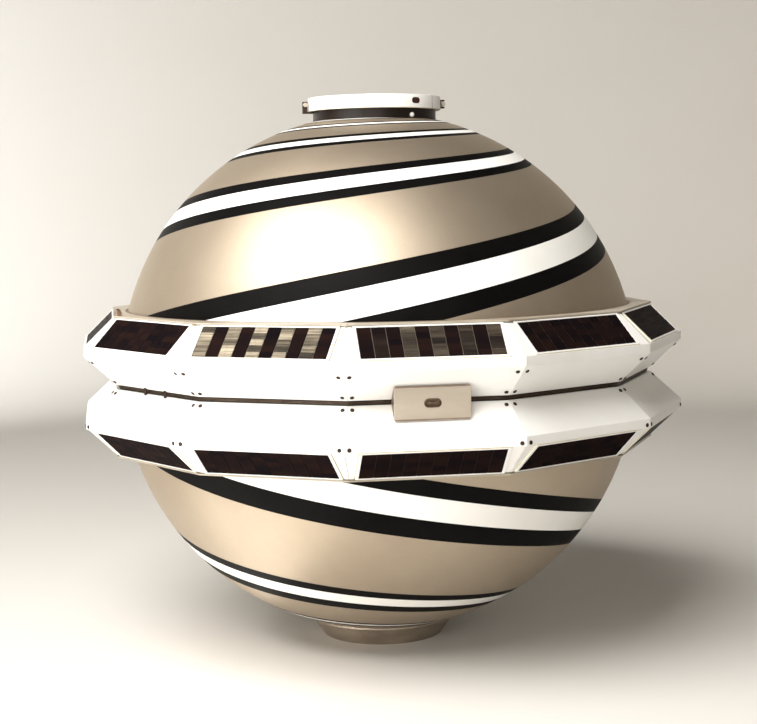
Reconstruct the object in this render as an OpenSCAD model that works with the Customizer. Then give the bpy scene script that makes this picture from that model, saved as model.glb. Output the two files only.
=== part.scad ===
// Spherical spin-stabilised satellite with a twelve-sided double belt of solar panels.
// +Z runs up the spin axis, the origin is the centre of the base collar's foot, and the
// belt side that carries the front despin weight faces -Y.

/* [Sphere] */
// Radius of the instrument sphere
sphere_r = 457.2; // [380:0.2:560]
// Thickness of the sphere's skin
skin_t = 4; // [3:0.5:8]

/* [Belt] */
// How far the lips' flat faces stand out from the sphere
lip_reach = 60.8; // [50:0.2:80]
// Height of a lip's lower edge above the equator
lip_low = 53; // [44:1:64]
// Height of a lip along its flat face
lip_h = 15; // [12:1:20]
// How far the rims of the waist groove stand out from the sphere
waist_reach = 8.8; // [7.2:0.2:14]
// Width of the waist groove
groove_w = 8; // [6:0.5:12]
// Thickness of the belt's sheet metal
sheet_t = 2.5; // [2:0.5:3]

/* [Solar panels] */
// Slope of the panels
panel_slope = 44; // [40:1:48]
// Height of a panel along its slope
panel_h = 68; // [56:1:82]
// Thickness of a panel
panel_t = 6; // [4:1:8]
// Width of one wing of a corner piece at the lip
wing_w = 22.5; // [20:0.5:40]
// How far the panels stand proud of the corner pieces
panel_proud = 2; // [0:0.5:3]

/* [Despin weights] */
// Width of a weight along the groove
weight_w = 118; // [90:1:142]
// Height of a weight's front face
weight_h = 52; // [40:1:64]
// Thickness of a weight's upper and lower edges
weight_edge = 4; // [3:0.5:8]
// Width, depth and height of the latch pocket in the front face
pocket = [24, 5, 11]; // [3:1:30]

/* [Top ring and clamp band] */
// Radius of the neck
neck_r = 108.5; // [90:0.5:132]
// Thickness of the neck's wall round its socket
neck_wall = 8.5; // [6:0.5:14]
// Height of the neck that shows below the clamp band
neck_h = 17; // [14:0.5:30]
// How far the neck's flange stands out from it
flange_reach = 5; // [4:0.5:8]
// Height of the clamp band
band_h = 23; // [20:1:30]
// Thickness of the clamp band
band_t = 3.2; // [2.4:0.2:5]
// Gap between the ends of the two band halves
band_gap = 4; // [3:1:8]

/* [Base collar] */
// Radius of the collar where it meets the sphere
collar_r = 131; // [120:0.5:160]
// Height of the collar
collar_h = 36; // [34:0.5:60]
// Radius of the collar's foot
foot_r = 107.5; // [104:0.5:118]
// Width of the foot between its edge and the socket
foot_w = 12.5; // [10:0.5:16]
// Number of bolt holes in the foot
bolt_count = 8; // [4:1:12]
// Radius of each bolt hole
bolt_r = 2.6; // [2:0.1:3]

/* [Equipment] */
// Radius of the equipment block
block_r = 250; // [150:5:300]
// Height of the equipment block
block_h = 190; // [100:5:220]

/* [Hidden] */
$fn = 96;
sides = 12;
seat_gap = 0.3;
half_angle = 180 / sides;
lip_apothem = sphere_r + lip_reach;
lip_high = lip_low + lip_h;
waist_apothem = sphere_r + waist_reach;
groove = groove_w / 2;
groove_floor = waist_apothem - 6;
ring_inner_r = sphere_r + seat_gap;
ring_half_h = 20;
cable_t = 3.2;
panel_edge = 2;
panel_end = panel_edge + panel_h;
panel_w = 2 * (lip_apothem * tan(half_angle) - wing_w);
seat_w = 14;
gusset_gap = 0.5;
rail_web = 2.5;
rail_z = lip_high + panel_end * sin(panel_slope) + seat_gap;
rail_apothem = lip_apothem - panel_end * cos(panel_slope);
rail_bore_r = sqrt(pow(sphere_r, 2) - pow(rail_z - 16, 2)) + seat_gap;
weight_face = weight_seat(weight_h / 2) + weight_edge;
neck_bore_r = neck_r - neck_wall;
neck_inner_r = neck_r - neck_wall / 2;
flange_r = neck_r + flange_reach;
band_low = sqrt(pow(sphere_r, 2) - pow(neck_r, 2)) + neck_h;
flange_bevel = 4;
flange_low = band_low + 5;
flange_high = band_low + band_h - 5;
band_lip_t = 3;
band_r = flange_r + seat_gap + band_t;
band_lip_r = flange_r - flange_bevel + 2 * seat_gap;
deck_t = 4;
deck_gap = 5;
deck_top = sphere_r + deck_gap + deck_t;
lug = [12, 7, 15];
lug_bolt_r = 2.6;
equator_z = sqrt(pow(sphere_r, 2) - pow(collar_r, 2)) + collar_h;
collar_bore_r = foot_r - foot_w;
collar_inner_r = collar_bore_r + 4;
base_deck_z = equator_z - deck_top;
bolt_depth = base_deck_z - 2;
bolt_ring_r = foot_r - foot_w / 2;
floor_t = 6;

// A point on a panel's section: so far up its slope from the lip corner, and so far out of
// its face.
function on_panel(up, out) = [
    lip_apothem - up * cos(panel_slope) + out * sin(panel_slope),
    lip_high + up * sin(panel_slope) + out * cos(panel_slope)
];

// The distance up the slope at which a line parallel to the panel crosses an apothem.
function up_at(apothem, out) = (lip_apothem + out * sin(panel_slope) - apothem) / cos(panel_slope);

// The slope of the belt's white inner face.
function face_run(apothem) = groove + (apothem - waist_apothem)
    * (lip_low - groove) / (lip_apothem - waist_apothem);

module at_equator() translate([0, 0, equator_z]) children();

module mirrored(lower) mirror([0, 0, lower ? 1 : 0]) children();

// A twelve-sided ring whose section is given as apothems and heights, flats facing +-X, +-Y.
module belt_ring(section)
    rotate([0, 0, half_angle])
        rotate_extrude($fn = sides)
            polygon([for (p = section) [p[0] / cos(half_angle), p[1]]]);

// Moves children from the -Y side to the belt side with the given number.
module on_side(i) rotate([0, 0, (i - 1) * 2 * half_angle]) children();

module shell_half(lower)
    color(lower ? "silver" : "gainsboro")
        at_equator() mirrored(lower)
            difference() {
                sphere(r = sphere_r);
                sphere(r = sphere_r - skin_t);
                translate([0, 0, -sphere_r]) cube(2 * sphere_r, center = true);
            }

module upper_shell() shell_half(false);

module lower_shell() shell_half(true);

module waist_ring()
    color("dimgray")
        at_equator()
            difference() {
                belt_ring([
                    [ring_inner_r / 2, -ring_half_h], [groove_floor, -ring_half_h],
                    [groove_floor, ring_half_h], [ring_inner_r / 2, ring_half_h]
                ]);
                cylinder(r = ring_inner_r, h = 4 * ring_half_h, center = true, $fn = 360);
            }

module waist_cable()
    color("gray")
        at_equator()
            belt_ring([
                [groove_floor, -cable_t / 2], [groove_floor + cable_t, -cable_t / 2],
                [groove_floor + cable_t, cable_t / 2], [groove_floor, cable_t / 2]
            ]);

// A bent sheet: lip, white inner face, flange at the groove and seat under the panels.
module belt_frame(lower) {
    lip_inner = lip_apothem - sheet_t;
    face_t = sheet_t * 1.4;
    color("white")
        at_equator() mirrored(lower)
            belt_ring([
                [groove_floor, groove], [waist_apothem, groove], [lip_apothem, lip_low],
                [lip_apothem, lip_high], [lip_inner, lip_high],
                on_panel(up_at(lip_inner, -panel_t), -panel_t),
                on_panel(panel_edge + seat_w, -panel_t),
                on_panel(panel_edge + seat_w, -panel_t - sheet_t),
                on_panel(up_at(lip_inner, -panel_t - sheet_t), -panel_t - sheet_t),
                [lip_inner, face_run(lip_inner) + face_t],
                [waist_apothem, groove + face_t], [groove_floor, groove + face_t]
            ]);
}

module upper_belt_frame() belt_frame(false);

module lower_belt_frame() belt_frame(true);

// The ring that closes the gap between the panels' inner edges and the sphere.
module belt_rail(lower) {
    web = on_panel(panel_end, -panel_t)[0] - seat_gap;
    color("whitesmoke")
        at_equator() mirrored(lower)
            difference() {
                belt_ring([
                    [rail_bore_r / 2, rail_z], [web - rail_web, rail_z],
                    [web - rail_web, on_panel(panel_end, -panel_t - sheet_t)[1]],
                    on_panel(panel_end - seat_w, -panel_t - sheet_t),
                    on_panel(panel_end - seat_w, -panel_t),
                    on_panel(panel_end, -panel_t),
                    [web, on_panel(panel_end, -panel_t)[1]], [web, rail_z],
                    [rail_apothem, rail_z], [rail_apothem, rail_z + sheet_t],
                    [rail_bore_r / 2, rail_z + sheet_t]
                ]);
                cylinder(r = rail_bore_r, h = 4 * lip_apothem, center = true);
            }
}

module upper_belt_rail() belt_rail(false);

module lower_belt_rail() belt_rail(true);

// A flat slab in the plane of the panel on the -Y side.
module panel_slab(width, from, to, thickness)
    translate([0, -lip_apothem, lip_high])
        rotate([panel_slope - 90, 0, 0])
            rotate([90, 0, 0])
                translate([-width / 2, from, -thickness])
                    cube([width, to - from, thickness]);

module panel(i, lower)
    color("midnightblue")
        at_equator() mirrored(lower) on_side(i)
            panel_slab(panel_w, panel_edge, panel_end, panel_t);

// Bent corner pieces that fill the wedges between neighbouring panels.
module gussets(lower)
    color("white")
        at_equator() mirrored(lower)
            difference() {
                belt_ring([
                    on_panel(panel_edge, -panel_proud), on_panel(panel_edge, -panel_t),
                    on_panel(panel_end, -panel_t), on_panel(panel_end, -panel_proud)
                ]);
                for (i = [1:sides])
                    on_side(i)
                        translate([-panel_w / 2 - gusset_gap, -lip_apothem - panel_t, 0])
                            cube([panel_w + 2 * gusset_gap, lip_apothem / 2, 2 * rail_z]);
            }

module upper_gussets() gussets(false);

module lower_gussets() gussets(true);

// A weight that fills the valley of the belt over the groove, with a latch pocket.
module weight()
    color("darkgray")
        difference() {
            rotate([90, 0, 90])
                linear_extrude(weight_w, center = true)
                    polygon([
                        [-weight_face, -weight_h / 2],
                        [-weight_seat(weight_h / 2), -weight_h / 2],
                        [-weight_seat(groove), -groove], [-weight_seat(groove), groove],
                        [-weight_seat(weight_h / 2), weight_h / 2],
                        [-weight_face, weight_h / 2]
                    ]);
            translate([0, -weight_face, 0])
                cube([pocket[0], 2 * pocket[1], pocket[2]], center = true);
        }

// The apothem of a weight's back at a height, just clear of the belt's inner face.
function weight_seat(z) = waist_apothem + 2 * seat_gap
    + (z - groove) * (lip_apothem - waist_apothem) / (lip_low - groove);

module latch()
    color("dimgray")
        translate([0, -weight_face + pocket[1] / 2 + seat_gap / 2, 0])
            cube([pocket[0] / 2, pocket[1] - seat_gap, pocket[2] / 2], center = true);

module front_weight() at_equator() weight();

module front_latch() at_equator() latch();

module rear_weight() at_equator() rotate([0, 0, 180]) weight();

module rear_latch() at_equator() rotate([0, 0, 180]) latch();

module top_neck()
    color("saddlebrown")
        at_equator()
            difference() {
                rotate_extrude()
                    polygon([
                        [neck_inner_r, band_low - 2 * neck_h], [neck_r, band_low - 2 * neck_h],
                        [neck_r, flange_low], [flange_r, flange_low + flange_bevel],
                        [flange_r, flange_high - flange_bevel],
                        [flange_r - flange_bevel, flange_high], [neck_bore_r, flange_high],
                        [neck_bore_r, deck_top], [neck_inner_r, deck_top]
                    ]);
                sphere(r = sphere_r + seat_gap);
            }

module top_deck()
    color("gray")
        at_equator()
            translate([0, 0, deck_top - deck_t])
                cylinder(r = neck_inner_r - seat_gap, h = deck_t);

module band_lug(side)
    translate([side * (band_r + lug[0] / 2 - 1), -(band_gap + lug[1]) / 2, band_low + band_h / 2])
        difference() {
            cube(lug, center = true);
            rotate([90, 0, 0]) cylinder(r = lug_bolt_r, h = 2 * lug[1], center = true, $fn = 32);
        }

// One half of the clamp band on the -Y side, a channel round the neck's flange with a lug
// at each end.
module clamp_band()
    color("white") {
        difference() {
            rotate_extrude()
                polygon([
                    [band_lip_r, band_low], [band_r, band_low], [band_r, band_low + band_h],
                    [band_lip_r, band_low + band_h],
                    [band_lip_r, band_low + band_h - band_lip_t],
                    [flange_r + seat_gap, band_low + band_h - band_lip_t],
                    [flange_r + seat_gap, band_low + band_lip_t],
                    [band_lip_r, band_low + band_lip_t]
                ]);
            translate([-2 * band_r, -band_gap / 2, 0]) cube([4 * band_r, 2 * band_r, 2 * band_low]);
        }
        for (side = [-1, 1]) band_lug(side);
    }

module front_clamp_band() at_equator() clamp_band();

module rear_clamp_band() at_equator() rotate([0, 0, 180]) clamp_band();

module base_collar()
    color("rosybrown")
        difference() {
            rotate_extrude()
                polygon([
                    [collar_bore_r, 0], [foot_r, 0], [collar_r, collar_h],
                    [collar_inner_r, collar_h], [collar_inner_r, base_deck_z],
                    [collar_bore_r, base_deck_z]
                ]);
            at_equator() sphere(r = sphere_r + seat_gap);
            for (i = [1:bolt_count])
                rotate([0, 0, (i - 0.5) * 360 / bolt_count])
                    translate([bolt_ring_r, 0, -1])
                        cylinder(r = bolt_r, h = bolt_depth + 1, $fn = 32);
        }

module base_deck()
    color("gray")
        translate([0, 0, base_deck_z])
            cylinder(r = collar_inner_r - seat_gap, h = deck_t);

module equipment_deck()
    color("gray")
        at_equator()
            cylinder(r = sphere_r - skin_t - 2 * seat_gap, h = floor_t, center = true);

module equipment_block()
    color("goldenrod")
        at_equator()
            translate([0, 0, -floor_t / 2 - block_h]) cylinder(r = block_r, h = block_h);

upper_shell();
lower_shell();
waist_ring();
waist_cable();
upper_belt_frame();
lower_belt_frame();
upper_belt_rail();
lower_belt_rail();
upper_gussets();
lower_gussets();
for (i = [1:sides]) panel(i, false);
for (i = [1:sides]) panel(i, true);
front_weight();
front_latch();
rear_weight();
rear_latch();
top_neck();
top_deck();
front_clamp_band();
rear_clamp_band();
base_collar();
base_deck();
equipment_deck();
equipment_block();
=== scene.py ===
import math

import bmesh
import bpy
from mathutils import Matrix, Vector


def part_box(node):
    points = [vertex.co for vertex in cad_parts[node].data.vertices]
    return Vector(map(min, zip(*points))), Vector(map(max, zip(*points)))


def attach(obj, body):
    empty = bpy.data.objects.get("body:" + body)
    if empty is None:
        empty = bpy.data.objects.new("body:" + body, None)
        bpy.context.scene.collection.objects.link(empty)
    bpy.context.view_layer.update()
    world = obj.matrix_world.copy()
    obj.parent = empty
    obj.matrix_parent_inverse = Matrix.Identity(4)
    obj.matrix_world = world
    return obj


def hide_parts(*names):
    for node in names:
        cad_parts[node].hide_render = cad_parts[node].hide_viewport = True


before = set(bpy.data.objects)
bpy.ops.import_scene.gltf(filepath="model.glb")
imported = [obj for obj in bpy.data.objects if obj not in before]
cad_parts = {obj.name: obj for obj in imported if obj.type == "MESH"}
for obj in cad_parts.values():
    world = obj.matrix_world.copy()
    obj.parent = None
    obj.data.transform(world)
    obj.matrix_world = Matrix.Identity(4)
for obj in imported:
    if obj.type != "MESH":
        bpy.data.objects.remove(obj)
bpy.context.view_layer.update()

# ---------------------------------------------------------------- sizes, in metres
MM = 0.001
SIDES = 12
HALF_TURN = math.pi / SIDES
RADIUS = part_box("upper_shell")[1].x
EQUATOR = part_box("upper_shell")[0].z
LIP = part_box("upper_belt_frame")[1].x
LIP_LOW = 53 * MM
LIP_HIGH = 68 * MM
WAIST = RADIUS + 8.8 * MM
GROOVE = 4 * MM
GROOVE_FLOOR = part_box("waist_ring")[1].x
SHEET = 2.5 * MM
SLOPE = math.radians(44)
PANEL_LOW = 2 * MM
PANEL_HIGH = 70 * MM
PANEL_MIDDLE = (PANEL_LOW + PANEL_HIGH) / 2
PANEL_DEEP = 6 * MM
PANEL_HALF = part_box("upper_panel_1")[1].x
SEAT = 14 * MM
BODY = "satellite_body"


# ---------------------------------------------------------------- camera
def place_camera():
    data = bpy.data.cameras.new("camera")
    data.sensor_width = 36.0
    data.lens = 76.85
    data.clip_end = 60.0
    camera = bpy.data.objects.new("camera", data)
    bpy.context.scene.collection.objects.link(camera)
    around = math.radians(-9.35)
    reach = 2.890
    eye = Vector((math.sin(around) * reach, -math.cos(around) * reach, EQUATOR + 0.2987))
    level = Vector((-eye.x, -eye.y, 0)).normalized()
    tilt = -0.0978
    roll = 0.017
    aim = level * math.cos(tilt) + Vector((0, 0, math.sin(tilt)))
    right = aim.cross(Vector((0, 0, 1))).normalized()
    up = right.cross(aim)
    right, up = right - roll * up, up + roll * right
    turn = Matrix((right.normalized(), up.normalized(), -aim)).transposed()
    camera.matrix_world = Matrix.Translation(eye) @ turn.to_4x4()
    bpy.context.scene.camera = camera


place_camera()


# ---------------------------------------------------------------- node helpers
def add(tree, kind, inputs=None, **settings):
    """A node with its settings, its inputs given by name or number as values or as sockets."""
    made = tree.nodes.new(kind)
    for key, value in settings.items():
        setattr(made, key, value)
    for key, value in (inputs or {}).items():
        socket = made.inputs[key]
        if isinstance(value, bpy.types.NodeSocket):
            tree.links.new(value, socket)
        else:
            socket.default_value = value
    return made


def maths(tree, operation, first, second=0.0, third=0.0):
    return add(tree, "ShaderNodeMath", {0: first, 1: second, 2: third}, operation=operation).outputs[0]


def stretched(tree, value, low, high, to_low, to_high):
    return add(tree, "ShaderNodeMapRange",
               {"Value": value, "From Min": low, "From Max": high, "To Min": to_low, "To Max": to_high}
               ).outputs["Result"]


def blended(tree, factor, first, second):
    made = add(tree, "ShaderNodeMix", {0: factor}, data_type="RGBA")
    for number, value in ((6, first), (7, second)):
        if isinstance(value, bpy.types.NodeSocket):
            tree.links.new(value, made.inputs[number])
        else:
            made.inputs[number].default_value = (*value, 1.0)
    return made.outputs[2]


def noise(tree, place, scale, detail=4.0, rough=0.55):
    return add(tree, "ShaderNodeTexNoise",
               {"Vector": place, "Scale": scale, "Detail": detail, "Roughness": rough}).outputs["Fac"]


def blank(name):
    material = bpy.data.materials.new(name)
    material.use_nodes = True
    tree = material.node_tree
    return material, tree, tree.nodes["Principled BSDF"]


def finish(name, light, dark, rough, metal=0.0, patch=6.0, grain=260.0, relief=0.05, coat=0.0,
           stretch=(1, 1, 1), wear=None, specular=0.5):
    """A surface whose colour drifts in patches and whose grain shows in its gloss and relief."""
    material, tree, shader = blank(name)
    place = add(tree, "ShaderNodeTexCoord").outputs["Object"]
    place = add(tree, "ShaderNodeMapping", {"Vector": place, "Scale": stretch}).outputs["Vector"]
    drift = noise(tree, place, patch, 5.0, 0.6)
    fine = noise(tree, place, grain, 3.0, 0.5)
    colour = blended(tree, stretched(tree, drift, 0.3, 0.7, 0.0, 1.0), dark, light)
    colour = blended(tree, stretched(tree, fine, 0.35, 0.75, 0.0, 0.22), colour, dark)
    if wear:
        spots = add(tree, "ShaderNodeTexVoronoi", {"Vector": place, "Scale": wear[0]}).outputs["Distance"]
        spots = stretched(tree, spots, wear[1] * 0.6, wear[1], 1.0, 0.0)
        colour = blended(tree, spots, colour, wear[2])
    tree.links.new(colour, shader.inputs["Base Color"])
    gloss = maths(tree, "MULTIPLY_ADD", fine, rough[1] - rough[0], rough[0])
    gloss = maths(tree, "MULTIPLY_ADD", drift, (rough[1] - rough[0]) * 0.6, gloss)
    tree.links.new(gloss, shader.inputs["Roughness"])
    bump = add(tree, "ShaderNodeBump", {"Height": fine, "Strength": relief, "Distance": 0.0004})
    tree.links.new(bump.outputs["Normal"], shader.inputs["Normal"])
    shader.inputs["Metallic"].default_value = metal
    shader.inputs["Coat Weight"].default_value = coat
    shader.inputs["Coat Roughness"].default_value = 0.12
    shader.inputs["Specular IOR Level"].default_value = specular
    return material


silver_paint = finish("satin_silver_paint", (0.47, 0.395, 0.305), (0.385, 0.315, 0.235), (0.45, 0.53), 0.88,
                      patch=3.0, grain=420.0, relief=0.08, wear=(7.0, 0.010, (0.12, 0.09, 0.06)))
black_stripe = finish("black_stripe_paint", (0.005, 0.0045, 0.004), (0.002, 0.002, 0.002), (0.36, 0.5),
                      patch=9.0, grain=380.0, specular=0.04)
white_stripe = finish("white_stripe_paint", (0.87, 0.86, 0.83), (0.80, 0.78, 0.73), (0.30, 0.42),
                      patch=5.0, grain=320.0)
white_enamel = finish("white_belt_enamel", (0.81, 0.80, 0.775), (0.75, 0.73, 0.69), (0.28, 0.40),
                      patch=7.0, grain=300.0, coat=0.15)
band_enamel = finish("white_band_enamel", (0.95, 0.94, 0.92), (0.89, 0.87, 0.83), (0.28, 0.40),
                     patch=12.0, grain=300.0, coat=0.15)
white_edge = finish("aged_white_edge", (0.88, 0.84, 0.70), (0.70, 0.62, 0.44), (0.35, 0.5),
                    patch=25.0, grain=300.0)
rail_white = finish("rail_enamel", (0.46, 0.41, 0.33), (0.30, 0.25, 0.19), (0.35, 0.5),
                    patch=14.0, grain=260.0)
groove_metal = finish("dark_groove_metal", (0.030, 0.018, 0.012), (0.012, 0.007, 0.005), (0.45, 0.6), 0.3,
                      patch=20.0, grain=300.0)
wire_steel = finish("bare_wire", (0.17, 0.12, 0.08), (0.07, 0.045, 0.03), (0.34, 0.46), 0.8,
                    patch=60.0, grain=500.0)
screw_steel = finish("blackened_screw_steel", (0.050, 0.030, 0.020), (0.018, 0.010, 0.008), (0.3, 0.45), 0.6,
                     patch=90.0, grain=600.0)
backing = finish("cell_backing_plate", (0.30, 0.26, 0.20), (0.20, 0.17, 0.13), (0.3, 0.4), 0.6,
                 patch=30.0, grain=300.0)
# Painted shade: the cell backing made near black for the lower panels, which face down.
shaded_backing = finish("shaded_backing_plate", (0.030, 0.024, 0.020), (0.018, 0.014, 0.012), (0.4, 0.5),
                      patch=30.0, grain=300.0, specular=0.1)
plate_metal = finish("satin_weight_cover", (0.50, 0.435, 0.355), (0.40, 0.345, 0.275), (0.36, 0.5), 0.45,
                     patch=26.0, grain=700.0, relief=0.15, stretch=(0.25, 1, 1))
plate_edge = finish("weight_block_metal", (0.34, 0.25, 0.18), (0.20, 0.14, 0.10), (0.38, 0.5), 0.7,
                    patch=40.0, grain=500.0)
latch_metal = finish("latch_metal", (0.22, 0.15, 0.10), (0.09, 0.06, 0.04), (0.3, 0.42), 0.8,
                     patch=120.0, grain=700.0)
bolt_steel = finish("bright_bolt_steel", (0.66, 0.60, 0.50), (0.48, 0.42, 0.34), (0.28, 0.4), 0.8,
                    patch=120.0, grain=700.0)
maroon = finish("maroon_recess", (0.060, 0.014, 0.010), (0.030, 0.007, 0.005), (0.4, 0.5),
                patch=60.0, grain=500.0)
neck_dark = finish("dark_neck_finish", (0.018, 0.010, 0.007), (0.008, 0.005, 0.003), (0.30, 0.42),
                   patch=18.0, grain=300.0, specular=0.25)
collar_dull = finish("dull_collar_metal", (0.42, 0.35, 0.275), (0.27, 0.22, 0.17), (0.36, 0.5), 0.7,
                     patch=16.0, grain=360.0, relief=0.12, stretch=(1, 1, 2.5))
deck_satin = finish("satin_deck_metal", (0.50, 0.47, 0.42), (0.38, 0.35, 0.30), (0.32, 0.45), 0.8,
                    patch=12.0, grain=400.0, stretch=(0.3, 1, 1))
block_primer = finish("matt_primer", (0.56, 0.46, 0.28), (0.42, 0.34, 0.20), (0.6, 0.75),
                      patch=9.0, grain=200.0)


# ---------------------------------------------------------------- mesh helpers
def on_panel(up, out):
    """A point on the panels' section, up the slope from the lip's corner and out of the face."""
    return (LIP - up * math.cos(SLOPE) + out * math.sin(SLOPE),
            LIP_HIGH + up * math.sin(SLOPE) + out * math.cos(SLOPE))


def up_at(apothem, out):
    return (LIP + out * math.sin(SLOPE) - apothem) / math.cos(SLOPE)


def face_run(apothem):
    return GROOVE + (apothem - WAIST) * (LIP_LOW - GROOVE) / (LIP - WAIST)


def rounded(points, radius, steps=4, closed=True):
    """The polygon with each corner replaced by a small curve."""
    result = []
    count = len(points)
    for k, point in enumerate(points):
        if not closed and k in (0, count - 1):
            result.append(tuple(point))
            continue
        here = Vector(point)
        back = Vector(points[k - 1]) - here
        ahead = Vector(points[(k + 1) % count]) - here
        bend = back.angle(ahead)
        if bend > math.radians(176):
            result.append(tuple(here))
            continue
        cut = min(radius / math.tan(bend / 2), 0.45 * back.length, 0.45 * ahead.length)
        first = here + back.normalized() * cut
        last = here + ahead.normalized() * cut
        for step in range(steps + 1):
            t = step / steps
            result.append(tuple(first * (1 - t) ** 2 + here * 2 * t * (1 - t) + last * t ** 2))
    return result


def oblong(width, height, radius, steps=3):
    """A rectangle round the origin with eased corners."""
    x, y = width / 2, height / 2
    return rounded([(-x, -y), (x, -y), (x, y), (-x, y)], radius, steps)


def polygon(radius, sides):
    return [(radius * math.cos(2 * math.pi * k / sides), radius * math.sin(2 * math.pi * k / sides))
            for k in range(sides)]


def side_turn(side):
    return Matrix.Rotation(side * 2 * HALF_TURN, 3, "Z")


def bridge(bm, low, high):
    """The closed row of faces between two loops."""
    corners = zip(low, low[1:] + low[:1], high[1:] + high[:1], high)
    return [bm.faces.new(four) for four in corners]


def prism(bm, section, ends, side=0, lower=False):
    """A bar of that section along one side of the belt, its two ends cut where ends says."""
    turn = side_turn(side)
    flip = -1 if lower else 1
    rows = [[bm.verts.new(turn @ Vector((ends(a, z)[end], -a, EQUATOR + flip * z))) for a, z in section]
            for end in (0, 1)]
    bridge(bm, *rows)
    bm.faces.new(rows[0][::-1])
    bm.faces.new(rows[1])


def mitred(gap):
    return lambda a, z: (-(a * math.tan(HALF_TURN) - gap), a * math.tan(HALF_TURN) - gap)


def bevel(bm, width, segments=2, least=25.0):
    """Turns the faces outward and eases the edges that are sharper than least degrees."""
    bmesh.ops.recalc_face_normals(bm, faces=bm.faces)
    sharp = [e for e in bm.edges if len(e.link_faces) == 2 and e.calc_face_angle(0.0) > math.radians(least)]
    bmesh.ops.bevel(bm, geom=sharp, offset=width, offset_type="OFFSET", segments=segments, profile=0.5,
                    affect="EDGES", clamp_overlap=True)


def shown(name, bm, materials, smooth=None, mend=True):
    """A mesh object from bm, its faces outward."""
    if mend:
        bmesh.ops.recalc_face_normals(bm, faces=bm.faces)
    mesh = bpy.data.meshes.new(name)
    bm.to_mesh(mesh)
    bm.free()
    for material in materials:
        mesh.materials.append(material)
    if smooth is not None:
        mesh.polygons.foreach_set("use_smooth", [True] * len(mesh.polygons))
        mesh.set_sharp_from_angle(angle=math.radians(smooth))
    piece = bpy.data.objects.new(name, mesh)
    bpy.context.scene.collection.objects.link(piece)
    return piece


def settle(piece, body=BODY, nodes=()):
    """Ties a finished piece to its body and hides the frame nodes it stands for."""
    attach(piece, body)
    if nodes:
        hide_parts(*nodes)
    return piece


def lathe(bm, profile, start=0.0, end=2 * math.pi, steps=192, slots=None):
    """Turns a closed outline of (radius, height) round the axis, with flat ends where it is not whole."""
    whole = abs(end - start - 2 * math.pi) < 1e-6
    rings = []
    for k in range(steps if whole else steps + 1):
        angle = start + (end - start) * k / steps
        rings.append([bm.verts.new((r * math.cos(angle), r * math.sin(angle), z)) for r, z in profile])
    count = len(profile)
    for k in range(steps):
        here, there = rings[k], rings[(k + 1) % len(rings)]
        for n in range(count):
            face = bm.faces.new((here[n], there[n], there[(n + 1) % count], here[(n + 1) % count]))
            if slots:
                face.material_index = slots(profile[n], profile[(n + 1) % count])
    if not whole:
        bm.faces.new(rings[0])
        bm.faces.new(rings[-1][::-1])


def disc_lathe(bm, profile, steps=128):
    """Turns an open outline that starts and ends on the axis."""
    rings = []
    for r, z in profile:
        if r < 1e-9:
            rings.append([bm.verts.new((0, 0, z))])
        else:
            rings.append([bm.verts.new((r * math.cos(2 * math.pi * k / steps),
                                        r * math.sin(2 * math.pi * k / steps), z)) for k in range(steps)])
    for low, high in zip(rings, rings[1:]):
        for k in range(steps):
            n = (k + 1) % steps
            if len(low) == 1:
                bm.faces.new((low[0], high[n], high[k]))
            elif len(high) == 1:
                bm.faces.new((low[k], low[n], high[0]))
            else:
                bm.faces.new((low[k], low[n], high[n], high[k]))


def stadium(width, height, steps=10):
    """An outline with straight top and bottom and round ends."""
    half = (width - height) / 2
    outline = []
    for end in (1, -1):
        for k in range(steps + 1):
            angle = -math.pi / 2 + math.pi * k / steps
            outline.append((end * (half + height / 2 * math.cos(angle)), end * height / 2 * math.sin(angle)))
    return outline


def extruded(bm, outline, place, from_out, to_out):
    """A flat outline pushed along its own normal. place turns (across, up, out) into a point."""
    low = [bm.verts.new(place(x, y, from_out)) for x, y in outline]
    high = [bm.verts.new(place(x, y, to_out)) for x, y in outline]
    bridge(bm, low, high)
    bm.faces.new(low[::-1])
    bm.faces.new(high)


def carved(piece, cutters):
    """The piece with the cutters' solids taken out of its mesh."""
    for cutter in cutters:
        cut = piece.modifiers.new("cut", "BOOLEAN")
        cut.object = cutter
        cut.operation = "DIFFERENCE"
        cut.solver = "EXACT"
        cut.material_mode = "TRANSFER"
    bpy.context.view_layer.update()
    mesh = bpy.data.meshes.new_from_object(piece.evaluated_get(bpy.context.evaluated_depsgraph_get()))
    piece.modifiers.clear()
    piece.data = mesh
    for cutter in cutters:
        bpy.data.objects.remove(cutter)
    return piece


def on_side(side, lower=False):
    """Turns a panel's own (across, up, out) into a point on that side of the belt."""
    turn = side_turn(side)
    flip = -1 if lower else 1

    def place(across, up, out):
        a, z = on_panel(up, out)
        return turn @ Vector((flip * across, -a, EQUATOR + flip * z))
    return place


# ---------------------------------------------------------------- geometry nodes
def tree_for(name, inputs):
    tree = bpy.data.node_groups.new(name, "GeometryNodeTree")
    face = tree.interface
    face.new_socket("Geometry", in_out="INPUT", socket_type="NodeSocketGeometry")
    for label, kind, value in inputs:
        socket = face.new_socket(label, in_out="INPUT", socket_type=kind)
        if value is not None:
            socket.default_value = value
    face.new_socket("Geometry", in_out="OUTPUT", socket_type="NodeSocketGeometry")
    return tree, tree.nodes.new("NodeGroupInput").outputs, tree.nodes.new("NodeGroupOutput")


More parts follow.
